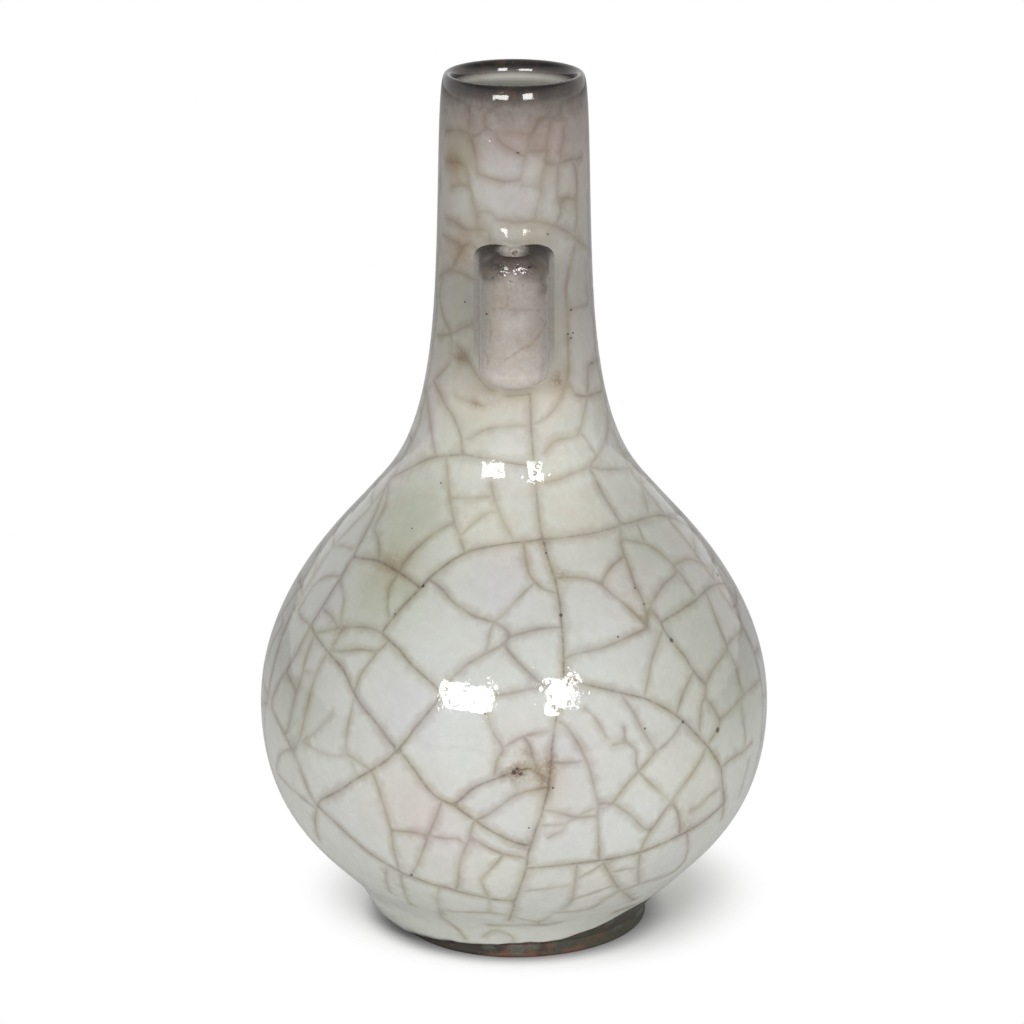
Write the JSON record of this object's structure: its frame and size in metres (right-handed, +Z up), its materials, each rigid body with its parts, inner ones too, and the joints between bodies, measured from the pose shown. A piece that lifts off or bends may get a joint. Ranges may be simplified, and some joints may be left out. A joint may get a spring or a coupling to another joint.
{
  "type": "bottle vase",
  "caption": "Bottle vase in crackled stoneware: round belly, tall tapering neck, rounded dark lip, low bare foot ring and a hollow upright lug on the front and the back of the neck.",
  "frame": {"origin": "centre of the foot's underside, on the surface that the vase stands on", "axes": "+Z up along the vase's axis, -Y towards the front lug, +X to the right seen from the front"},
  "size_m": [0.1468, 0.1468, 0.25],
  "materials": {
    "crackle_glaze": "glossy thick glaze with a dark and a brown crackle",
    "neck_glaze": "glossy crackled glaze, thinner and greyer towards the mouth",
    "thin_dark_glaze": "thin glossy glaze with the dark clay showing through",
    "lug_glaze": "glossy pinkish grey glaze, dark where it is thin on the edges",
    "bare_stoneware": "unglazed iron-brown stoneware, matte"
  },
  "bodies": {
    "root": {"foot_ring": "bare_stoneware", "lower_body": "crackle_glaze", "upper_body": "crackle_glaze", "neck": "neck_glaze", "mouth_rim": "thin_dark_glaze", "lug_front": "lug_glaze", "lug_rear": "lug_glaze"}
  },
  "joints": []
}
